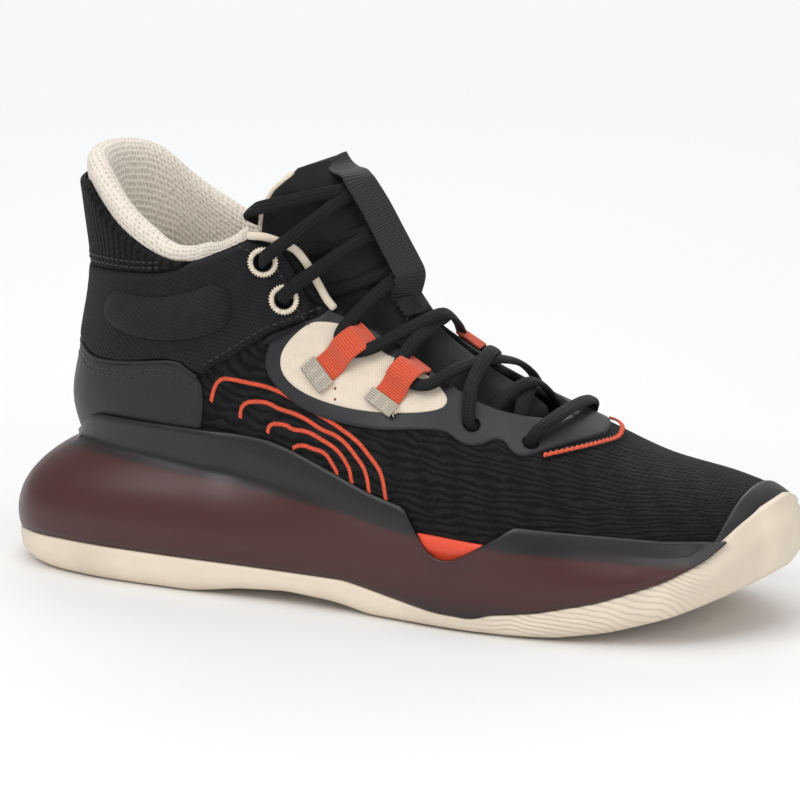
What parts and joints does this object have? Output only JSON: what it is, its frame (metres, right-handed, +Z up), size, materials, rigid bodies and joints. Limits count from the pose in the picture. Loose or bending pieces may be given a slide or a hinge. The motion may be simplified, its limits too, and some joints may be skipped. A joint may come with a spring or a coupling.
{
  "type": "basketball high top",
  "caption": "Right-foot basketball high top with a translucent cage over a foam midsole, padded collar, knitted upper and laced tongue.",
  "frame": {"origin": "the flat tread under the middle of the heel, on the ground", "axes": "+X points to the toe, +Y to the inner side of the foot, +Z up"},
  "size_m": [0.3081, 0.1083, 0.1579],
  "materials": {
    "outsole": "satin",
    "cage": "satin translucent",
    "core": "matte",
    "knit": "matte",
    "board": "matte",
    "lining": "matte",
    "film": "satin",
    "orange_webbing": "matte",
    "collar_textile": "matte",
    "synthetic_leather": "satin",
    "foam": "matte",
    "webbing": "matte",
    "lace": "matte",
    "plate": "satin",
    "cream_textile": "matte",
    "tab_webbing": "matte"
  },
  "bodies": {
    "root": {"mesh_upper": "knit", "strobel_board": "board", "insole": "board", "vamp_lining": "lining", "toe_puff": "board", "toe_guard": "film", "eyestay": "film", "throat_bar": "orange_webbing", "eyelet_panel_lateral": "cream_textile", "lace_loop_lateral_lower": "orange_webbing", "loop_tab_lateral_lower": "tab_webbing", "lace_loop_lateral_upper": "orange_webbing", "loop_tab_lateral_upper": "tab_webbing", "eyelet_panel_medial": "cream_textile", "lace_loop_medial_lower": "orange_webbing", "loop_tab_medial_lower": "tab_webbing", "lace_loop_medial_upper": "orange_webbing", "loop_tab_medial_upper": "tab_webbing", "collar_panel": "collar_textile", "heel_tab": "knit", "counter_cover": "synthetic_leather", "heel_stiffener": "board", "ankle_pod_lateral": "collar_textile", "ankle_pod_medial": "collar_textile", "collar_foam": "foam", "collar_lining": "lining", "collar_roll": "lining", "collar_binding_lateral": "cream_textile", "eyelet_rim_lateral_lower": "cream_textile", "eyelet_rim_lateral_upper": "cream_textile", "collar_binding_medial": "cream_textile", "eyelet_rim_medial_lower": "cream_textile", "eyelet_rim_medial_upper": "cream_textile", "tongue_shell": "collar_textile", "tongue_foam": "foam", "tongue_lining": "lining", "tongue_strap": "webbing", "strap_tab": "webbing", "lace": "lace", "aglet_lateral": "plate", "aglet_medial": "plate", "outsole": "outsole", "cage_shell": "cage", "midsole_core": "core", "shank_plate": "plate", "heel_cushion": "foam"}
  },
  "joints": []
}
